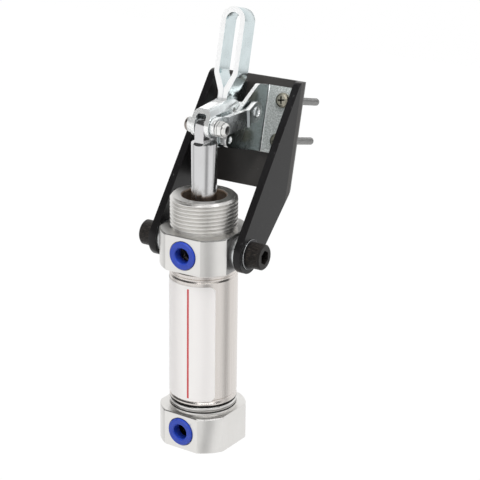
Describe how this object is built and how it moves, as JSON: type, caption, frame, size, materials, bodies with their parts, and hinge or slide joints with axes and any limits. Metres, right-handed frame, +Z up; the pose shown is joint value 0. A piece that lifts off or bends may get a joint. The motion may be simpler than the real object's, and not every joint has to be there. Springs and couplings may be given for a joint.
{
  "type": "pneumatic toggle clamp",
  "caption": "Pneumatic toggle clamp: a short cylinder on a trunnion bracket swings a slotted clamp arm through a yoke and links.",
  "frame": {"origin": "middle of the four-screw pattern on the back face of the bracket's plate", "axes": "+Y out of the plate's back face, along the screws; +Z up along the plate; X along the trunnion axis"},
  "size_m": [0.0546, 0.0696, 0.1754],
  "materials": {
    "black_paint": "satin black",
    "zinc_plate": "zinc plated",
    "black_oxide": "black oxide on steel",
    "chrome_rod": "hard chrome",
    "stainless": "drawn stainless tube",
    "aluminium": "turned and brushed",
    "blue_plastic": "smooth",
    "rubber": "matt",
    "bronze": "sintered",
    "wear_plastic": "matt",
    "label_foil": "silver foil"
  },
  "bodies": {
    "frame": {"bracket": "black_paint", "web_right": "zinc_plate", "web_left": "zinc_plate", "flange_screws": "zinc_plate", "arm_rivet": "zinc_plate", "arm_spacers": "zinc_plate", "link_rivet": "zinc_plate", "link_spacer": "zinc_plate"},
    "clamp_arm": {"clamp_arm": "zinc_plate", "yoke_rivet": "zinc_plate"},
    "yoke": {"yoke": "zinc_plate"},
    "links": {"link_right": "zinc_plate", "link_left": "zinc_plate", "link_bolt": "zinc_plate", "link_nut": "zinc_plate"},
    "rod": {"piston_rod": "chrome_rod", "piston": "aluminium", "piston_seal": "rubber", "wear_ring": "wear_plastic", "piston_nut": "zinc_plate"},
    "cylinder": {"front_cap": "aluminium", "rear_cap": "aluminium", "barrel": "stainless", "front_cap_seal": "rubber", "rear_cap_seal": "rubber", "rod_bush": "bronze", "rod_seal": "rubber", "front_bumper": "rubber", "rear_bumper": "rubber", "front_grip": "stainless", "rear_grip": "stainless", "front_tube_seal": "rubber", "rear_tube_seal": "rubber", "trunnion_screw_right": "black_oxide", "trunnion_screw_left": "black_oxide", "trunnion_washers": "zinc_plate", "trunnion_spacers": "black_oxide", "label": "label_foil"},
    "front_collar": {"front_collar": "blue_plastic"},
    "rear_collar": {"rear_collar": "blue_plastic"}
  },
  "joints": [
    {"name": "arm_swing", "type": "hinge", "parent": "frame", "child": "clamp_arm", "pos_m": [0, -0.0293, -0.009], "axis": [1, 0, 0], "range_deg": [0, 85.85]},
    {"name": "yoke_turn", "type": "hinge", "parent": "clamp_arm", "child": "yoke", "pos_m": [0, -0.0262, 0.0024], "axis": [1, 0, 0], "range_deg": [0, 12.58]},
    {"name": "links_turn", "type": "hinge", "parent": "frame", "child": "links", "pos_m": [0, -0.0164, 0.0024], "axis": [1, 0, 0], "range_deg": [0, 36.21]},
    {"name": "rod_turn", "type": "hinge", "parent": "links", "child": "rod", "pos_m": [0, -0.04, -0.0047], "axis": [1, 0, 0], "range_deg": [-43.95, 0]},
    {"name": "stroke", "type": "slide", "parent": "rod", "child": "cylinder", "axis": [0, -0.2465, 0.9691], "range_m": [0, 0.01399]},
    {"name": "front_release", "type": "slide", "parent": "cylinder", "child": "front_collar", "axis": [0, 0.9691, 0.2465], "range_m": [0, 0.0007], "stiffness_N_per_m": 200},
    {"name": "rear_release", "type": "slide", "parent": "cylinder", "child": "rear_collar", "axis": [0.0576, 0.9675, 0.2461], "range_m": [0, 0.0007], "stiffness_N_per_m": 200}
  ],
  "couplings": [
    {"joint": "arm_swing", "follows": "stroke", "rad_per_m": 106.02},
    {"joint": "yoke_turn", "follows": "stroke", "rad_per_m": 15.538},
    {"joint": "links_turn", "follows": "stroke", "rad_per_m": 44.72},
    {"joint": "rod_turn", "follows": "stroke", "rad_per_m": -54.267}
  ]
}
